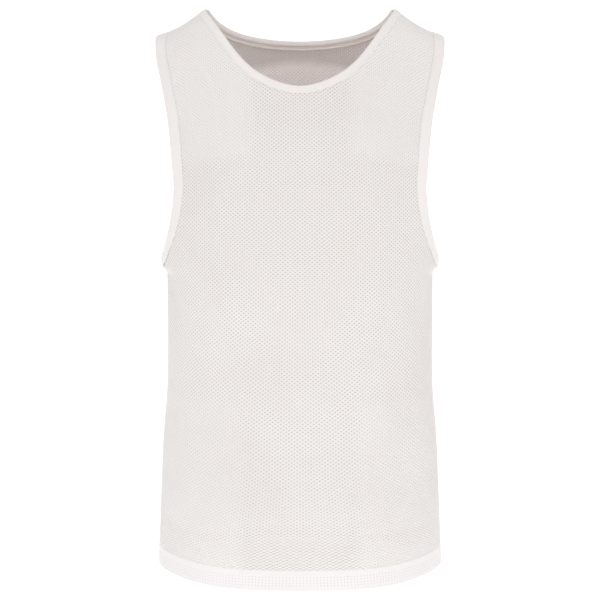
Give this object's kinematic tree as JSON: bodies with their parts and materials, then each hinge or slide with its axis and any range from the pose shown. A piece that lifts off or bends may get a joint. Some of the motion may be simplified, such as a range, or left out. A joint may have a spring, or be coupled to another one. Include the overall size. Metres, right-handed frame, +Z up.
{
  "type": "mesh training bib",
  "caption": "Sleeveless mesh training bib, hollow and filled out as if worn, with bound neck and armholes and a deep turned hem.",
  "frame": {"origin": "midway between the shoulders, level with the side neck points, where the wearer's shoulders hold the bib", "axes": "+Z up, the front of the bib faces -Y, +X towards the wearer's left side"},
  "size_m": [0.3456, 0.2441, 0.6655],
  "materials": {
    "mesh_cloth": "fine polyester eyelet mesh, soft sheen",
    "binding_cloth": "closed polyester knit, folded and stitched, matt"
  },
  "bodies": {
    "root": {"front": "mesh_cloth", "back": "mesh_cloth", "hem_front": "mesh_cloth", "hem_back": "mesh_cloth", "neck_binding": "binding_cloth", "armhole_binding_left": "binding_cloth", "armhole_binding_right": "binding_cloth"}
  },
  "joints": []
}
